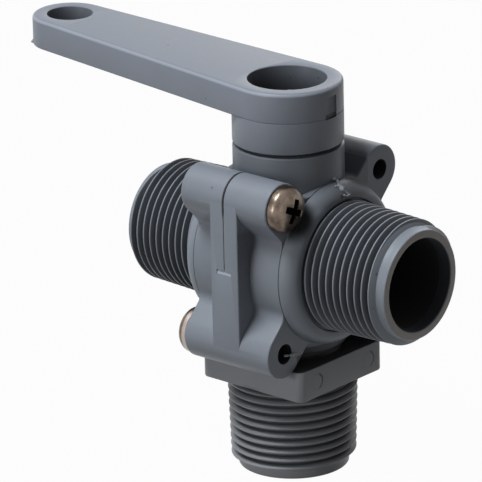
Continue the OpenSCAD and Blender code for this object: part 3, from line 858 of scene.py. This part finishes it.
# Branch port as one grid about its axis: the nose and the thread as circles, the collar as a rounded square
# at the same angles, and the spigot above it.
def branchMesh(b):
    angle = np.linspace(0, fullTurn, 401)
    circle = circleAt(-angle)
    square = squareRadius(circle, b)
    nose, noseRadius = noseRows(angle)
    rows = []
    for s, radius in ((nose[::-1], noseRadius[::-1]),
                      threadRows(angle, b["collarLow"], thread["branchCrest"])):
        rows += zip(s, radius)
    edge, low, high, spigot = b["collarEdge"], b["collarLow"], b["collarHigh"], b["spigot"]
    rows += [(low, square - 2.0), (low, square - edge), (low + 0.1, square - 0.1), (low + edge, square),
             (high - edge, square), (high - 0.1, square - 0.1), (high, square - edge)]
    rows += [(z, radius + 0 * angle) for z, radius in ((high, spigot + 0.4), (high + 0.4, spigot),
                                                       (b["spigotTop"], spigot), (b["spigotTop"], 0))]
    skin = stacked([(z, radius[:, None] * circle) for z, radius in rows])
    bore, deep, rim = thread["boreRadius"], thread["boreDepth"], thread["boreRadius"] + 0.3
    waterway = turned([(0, -1), (rim, -1), (rim, -0.01), (bore, 0.3), (bore, deep), (b["throat"], deep + 3.5),
                       (b["throat"], 40), (0, 40)], 120)
    inner, grooveLow, grooveHigh = b["ringGroove"]
    ringGroove = turned([(inner, grooveLow), (12, grooveLow), (12, grooveHigh), (inner, grooveHigh),
                         (inner, grooveLow)], 96)
    return carve("branchPort", [skin], [waterway, moveGrid(chamberGrid(), z=ballHeight), ringGroove])


finishPiece("branchFitting", branchMesh(branch), branchPlastic, "valve_body", ["branch_port"])
print("branch port made")

lever = {
    "length": 65.8,  # from the hub's centre to the end's
    "hub": 11.55,  # radius, as the end's
    "end": 8.0,
    "low": 31.1,
    "top": 37.6,
    "hubLow": 24.45,
    "step": 0.02,  # the hub is this much wider than the arm's outline round it
    "line": 0.12,  # depth of the line between hub and arm
    "edge": 0.85,
    "lowEdge": 0.3,
    "recess": 8.2,
    "recessRim": 0.3,
    "floor": 27.95,
    "endHole": 4.85,
    "drive": 6.1,  # radius of the stem's hole
    "driveFlat": 4.4,  # from its axis to each flat
    "gateSpot": (-1.45, 2.05, 0.55),  # low y, high y and depth
    "gateLow": 31.0,
    "gateHigh": 35.6,
}


# Outline round the hub and the lever's end, with straight sides that touch both circles
def leverOutline(v):
    side = np.arccos((v["hub"] - v["end"]) / v["length"])
    hubArc = arc((0, 0), v["hub"], side, fullTurn - side, 120, True)
    endArc = arc((v["length"], 0), v["end"], -side, side, 80, True)
    front, back = (np.linspace(a, b, 40)[1:-1] for a, b in ((hubArc[-1], endArc[0]), (endArc[-1], hubArc[0])))
    return np.vstack([hubArc, front, endArc, back, hubArc[:1]])


# Cutter for a hole whose rim is cut back at the lever's top: (radius, height) pairs from the given foot up
def topHole(v, radius, foot):
    rim = v["recessRim"]
    return [*foot, (radius, v["top"] - rim), (radius + 0.3 * rim, v["top"] - 0.3 * rim),
            (radius + rim, v["top"] + 0.001), (radius + rim, v["top"] + 1), (0, v["top"] + 1)]


# Handle: the arm carried up its outline and the hub as a turned drum, less the recess, the end hole, the
# stem's flats and the gate's patch
def handleMesh(v):
    outline = leverOutline(v)
    middle = np.column_stack([np.clip(outline[:, 0], 0, v["length"]), np.zeros(len(outline))])
    arm = block(outline, v["low"], v["top"], v["edge"], v["lowEdge"], middle, 8)
    wide, low, foot, edge = v["hub"] + v["step"], v["low"], v["hubLow"], v["lowEdge"]
    sunk = wide - v["line"]
    hub = turned([(0, foot), (wide - edge, foot), (wide - 0.08, foot + 0.1), (wide, foot + edge),
                  (wide, low - 0.02), (sunk, low), (sunk, low + edge), (0, low + edge)], 160)
    recess = turned(topHole(v, v["recess"], [(0, v["floor"]), (v["recess"], v["floor"])]), 120)
    radius, rim = v["endHole"], v["recessRim"]
    mouth = [(0, low - 1), (radius + rim, low - 1), (radius + rim, low - 0.001), (radius, low + rim)]
    hole = turned(topHole(v, radius, mouth), 96)
    flatAngle = np.arcsin(v["driveFlat"] / v["drive"])
    right = arc((0, 0), v["drive"], -flatAngle, flatAngle, 24, True)
    left = arc((0, 0), v["drive"], np.pi - flatAngle, np.pi + flatAngle, 24, True)
    driveOutline = np.vstack([right, left, right[:1]])
    drive = block(driveOutline, v["hubLow"] - 1, v["floor"] + 0.5, 0.01)
    lowY, highY, deep = v["gateSpot"]
    spot = roundedBox(v["hub"] - deep, v["hub"] + 2, lowY, highY, 0.25)
    gate = block(turnPoints(spot, -leverAngle), v["gateLow"], v["gateHigh"], 0.2)
    return carve("handle", [arm, hub], [recess, moveGrid(hole, x=v["length"]), drive, gate])


atLever = atBall @ Matrix.Rotation(leverAngle, 4, "Z")
finishPiece("leverHandle", moved(handleMesh(lever), atLever), handlePlastic, "lever_and_ball",
            ["handle"])
print("handle made")

screw = {
    "crossSpan": 2.75,
    "crossArm": 0.75,
    "crossDepth": 2.6,
    "shank": 2.4,
    "crest": 2.03,
    "root": 1.55,
    "pitch": 1.6,
    "offsets": (-0.3, -0.06, 0.06, 0.3),  # in pitches, across one crest
    "length": 20.0,
    "point": 2.2,
}


# Cross-shaped cutter, one quarter turned four times, that narrows as it deepens
def crossCutter(span, arm, top, depth):
    quarter = np.array([(arm, arm), (span, arm), (span, -arm)])
    corners = np.vstack([turnPoints(quarter, -k * np.pi / 2) for k in range(4)] + [quarter[:1]])[::-1]
    rows = [(top + 1, 0), (top + 1, 1.08), (top, 1.0), (top - depth * 0.8, 0.62), (top - depth, 0.2),
            (top - depth, 0)]
    return stacked([(z, corners * size) for z, size in rows])


# Upright screw with its head's seat at z = 0: a domed pan head, whose radius is head radius * cos(a)^0.8 at
# the height cheek + (head height - cheek) * sin(a), a plain shank, and a thread whose radius follows the
# helix, as on the ports, down to a blunt point.
def screwMesh(w, shankLength):
    dome = np.linspace(0, np.pi / 2, 12)
    rise = headCheek + (headHeight - headCheek) * np.sin(dome)
    head = np.column_stack([headRadius * np.cos(dome) ** 0.8, rise])
    profile = [(0, 0), (headRadius - 0.25, 0), (headRadius, 0.25), *map(tuple, head[:-1]), (0, headHeight)]
    solid = turned(profile, 72)
    cross = crossCutter(w["crossSpan"], w["crossArm"], headHeight, w["crossDepth"])
    angle = np.linspace(0, fullTurn, 49)
    threaded = w["length"] - shankLength
    turns = np.arange(-1, int(threaded / w["pitch"]) + 2)[:, None] + np.array(w["offsets"])[None]
    s = np.clip(w["pitch"] * (turns.reshape(-1, 1) - angle[None] / fullTurn), 0, threaded)
    high = np.tile([0.0, 1.0, 1.0, 0.0], len(turns))[:, None] * ease(s, 0, 1.0)
    narrowing = 1 - 0.75 * ease(s, threaded - w["point"], threaded) ** 1.5
    radius = (w["root"] + (w["crest"] - w["root"]) * high) * narrowing
    rows = [(0.5, 0), (0.5, w["shank"]), (0.3 - shankLength, w["shank"]), (-shankLength, w["root"]),
            *zip(-shankLength - s, radius), (-w["length"], 0)]
    shank = stacked([(z, np.reshape(size, (-1, 1)) * circleAt(angle)) for z, size in rows])
    return carve("screw", [solid, shank], [cross])


# Side in y, in z and in x of each screw's head, and the turn of its cross in degrees
screwTurns = {"screw_front_upper": (-1, 1, 1, -24), "screw_front_lower": (-1, -1, -1, 25),
              "screw_back_upper": (1, 1, -1, 60), "screw_back_lower": (1, -1, 1, 40)}
bodyScrew = screwMesh(screw, lugHalf)
for node, (ySide, zSide, xSide, twist) in screwTurns.items():
    seat = Matrix.Translation((xSide * lugHalf * mm, ySide * lugY * mm, zSide * lugZ * mm))
    tilt = Matrix.Rotation(xSide * np.pi / 2, 4, "Y") @ Matrix.Rotation(np.radians(twist), 4, "Z")
    names = node.split("_")
    finishPiece(names[0] + names[1].title() + names[2].title(), moved(bodyScrew, atBall @ seat @ tilt),
                finishes["screw_steel"], "valve_body", [node])
print("screws made")

# Moulding flash: thin ragged threads of plastic left on the mouldings, as (radius, points in mm)
bodyFlash = {
    "shoulderFlash": (0.32, ((11.60, 0.10, 64.60), (11.80, 1.30, 63.95), (12.6, 0.70, 63.78),
                             (13.54, -0.08, 63.30), (14.35, 0.12, 62.60), (14.86, 0.99, 61.70),
                             (14.99, 1.24, 60.80))),
    "shoulderChip": (0.26, ((13.1, -0.9, 63.45), (13.7, 0.1, 63.25), (14.2, 1.1, 62.75))),
    "shoulderFlake": (0.20, ((14.92, -0.30, 61.75), (15.08, 0.60, 61.35), (15.02, 1.90, 61.45))),
    "holeFlash": (0.27, ((10.95, -15.40, 30.20), (11.5, -14.40, 30.12), (11.8, -13.20, 30.10),
                         (12.05, -12.2, 30.10))),
}
leverFlash = {
    "rimFlash": (0.13, ((4.90, -6.62, 83.84), (5.62, -6.02, 83.92), (6.30, -5.35, 83.82))),
    "endFlash": (0.34, ((-70.9, 1.0, 78.1), (-71.6, 0.4, 77.9), (-72.0, 0.05, 77.75))),
}


# Tube along a path, closed at both ends: its radius is radius * (1 - (2t - 1)^6)^0.5 times a sum of two sines
# that makes it ragged, at the share t of its length.
def flashGrid(radius, points, rows=48, columns=12):
    points = np.array(points)
    steps = np.linalg.norm(np.diff(points, axis=0), axis=1)
    place = np.concatenate([[0], np.cumsum(steps)]) / steps.sum()
    t = np.linspace(0, 1, rows)
    path = np.stack([np.interp(t, place, points[:, k]) for k in range(3)], -1)
    path[1:-1] = (path[:-2] + path[1:-1] + path[2:]) / 3
    ragged = 1 + 0.34 * np.sin(11 * t + 1) + 0.24 * np.sin(31 * t)
    size = radius * np.sqrt(np.clip(1 - (2 * t - 1) ** 6, 0, 1)) * ragged
    ahead = np.gradient(path, axis=0)
    ahead /= np.linalg.norm(ahead, axis=1, keepdims=True)
    side = np.cross(ahead, (0.0, 0.3, 1.0))
    side /= np.linalg.norm(side, axis=1, keepdims=True)
    up = np.cross(side, ahead)
    angle = np.linspace(0, fullTurn, columns + 1)
    ring = side[:, None] * np.cos(angle)[None, :, None] + up[:, None] * np.sin(angle)[None, :, None]
    return path[:, None] + size[:, None, None] * ring


for flash, carrier, slot in ((bodyFlash, "valve_body", "body_plastic"),
                             (leverFlash, "lever_and_ball", "handle_plastic")):
    for name, (radius, points) in flash.items():
        mesh = gridMesh(name, flashGrid(radius, points))
        finishPiece(name, mesh, flashPlastic, carrier, sharp=60)
print("flash made")

# The studio: a floor that shows white and keeps a soft shadow, and four round lamps aimed at the ball
studio = {
    "floorSize": 4.0,  # metres, as the lamps' places and widths
    "floorTone": 0.2,
    "floorGlow": 0.97,  # share of plain white in the floor as the camera sees it
    "fill": 0.07,  # strength of the white surroundings as a light
}
# Place, width, power and tint of each
lamps = {
    "key": ((-0.26, -0.40, 1.04), 0.5, 13.4, (0.905, 0.953, 1.0)),
    "front": ((-0.18, -0.98, 0.24), 0.4, 2.8, (0.98, 0.99, 1.0)),
    "back": ((-0.45, 0.90, 0.45), 0.5, 1.8, (1.0, 1.0, 1.0)),
    "right": ((1.0, -0.25, 0.02), 0.5, 0.45, (1.0, 0.88, 0.76)),
}


# 1 on the rays that show the background: from the camera, or by way of metal and glass
def backgroundRays(tree):
    path = tree.nodes.new("ShaderNodeLightPath")
    seen = Wire(tree, path.outputs["Is Camera Ray"])
    for name in ("Is Glossy Ray", "Is Transmission Ray"):
        seen = seen.maths("MAXIMUM", seen, Wire(tree, path.outputs[name]))
    return seen


# A square sheet at z = 0, whose paint glows white on the rays that show the background
def makeFloor(s):
    reach = s["floorSize"] / 2
    mesh = bpy.data.meshes.new("floor")
    corners = [(x * reach, y * reach, 0) for x, y in ((-1, -1), (1, -1), (1, 1), (-1, 1))]
    mesh.from_pydata(corners, [], [(0, 1, 2, 3)])
    floor = linked("floor", mesh)
    material = bpy.data.materials.new("floorPaint")
    material.use_nodes = True
    tree = material.node_tree
    shader = tree.nodes["Principled BSDF"]
    shader.inputs["Base Color"].default_value = (s["floorTone"], s["floorTone"], s["floorTone"], 1)
    shader.inputs["Roughness"].default_value = 0.9
    seen = backgroundRays(tree)
    glow = seen.node("ShaderNodeEmission", {}, (1, 1, 1), 1.0)
    mix = seen.node("ShaderNodeMixShader", {}, seen * s["floorGlow"], Wire(tree, shader.outputs[0]), glow)
    tree.links.new(mix.socket, tree.nodes["Material Output"].inputs["Surface"])
    mesh.materials.append(material)


# White surroundings, at full strength on the background's rays and at the fill's on the others
def makeWorld(s):
    world = bpy.data.worlds.new("studio")
    bpy.context.scene.world = world
    world.use_nodes = True
    tree = world.node_tree
    background = tree.nodes["Background"]
    background.inputs["Color"].default_value = (1, 1, 1, 1)
    strength = s["fill"] + (1 - s["fill"]) * backgroundRays(tree)
    tree.links.new(strength.socket, background.inputs["Strength"])


# Puts a lamp or the camera at place, with its three axes as the columns of its turn
def stand(thing, axes, place):
    pose = np.eye(4)
    pose[:3, :3], pose[:3, 3] = np.stack(axes, 1), place
    thing.matrix_world = Matrix(pose.tolist())


# Round area lamp that looks at the ball: its back points away from it
def makeLamp(name, place, width, power, tint):
    light = bpy.data.lights.new(name, "AREA")
    light.shape = "DISK"
    light.size = width
    light.energy = power
    light.color = tint
    back = np.array(place) - (0, 0, ballHeight * mm)
    side = np.cross((0, 0, 1), back)
    axes = [axis / np.linalg.norm(axis) for axis in (side, np.cross(back, side), back)]
    stand(linked(name, light), axes, place)


makeFloor(studio)
makeWorld(studio)
for name, lamp in lamps.items():
    makeLamp(name, *lamp)
print("studio lit")

# Camera, fitted to the photograph: angles in degrees about the ball, then of the camera itself
view = {
    "azimuth": 40.829,
    "elevation": 19.766,
    "distance": 1.1654,  # metres
    "yaw": 0.500,
    "pitch": -0.0993,
    "roll": -1.0658,
    "sensor": 36,
    "lens": 420.47,
    "clip": (0.05, 20),
}


# Camera on a sphere about the ball, looking at it, then turned in the plane of each pair of its axes:
# first * cos + second * sin, second * cos - first * sin
def makeCamera(v):
    a, e = np.radians(v["azimuth"]), np.radians(v["elevation"])
    back = np.array([np.sin(a) * np.cos(e), -np.cos(a) * np.cos(e), np.sin(e)])
    right = np.array([np.cos(a), np.sin(a), 0])
    place = back * v["distance"] + (0, 0, ballHeight * mm)
    axes = [right, np.cross(back, right), back]
    for angle, first, second in ((v["yaw"], 2, 0), (v["pitch"], 2, 1), (v["roll"], 0, 1)):
        c, s = np.cos(np.radians(angle)), np.sin(np.radians(angle))
        one, other = axes[first], axes[second]
        axes[first], axes[second] = one * c + other * s, other * c - one * s
    camera = linked("camera", bpy.data.cameras.new("camera"))
    camera.data.sensor_width = v["sensor"]
    camera.data.lens = v["lens"]
    camera.data.clip_start, camera.data.clip_end = v["clip"]
    stand(camera, axes, place)
    bpy.context.scene.camera = camera


makeCamera(view)
bpy.context.scene.view_settings.view_transform = "Standard"
print("camera set")
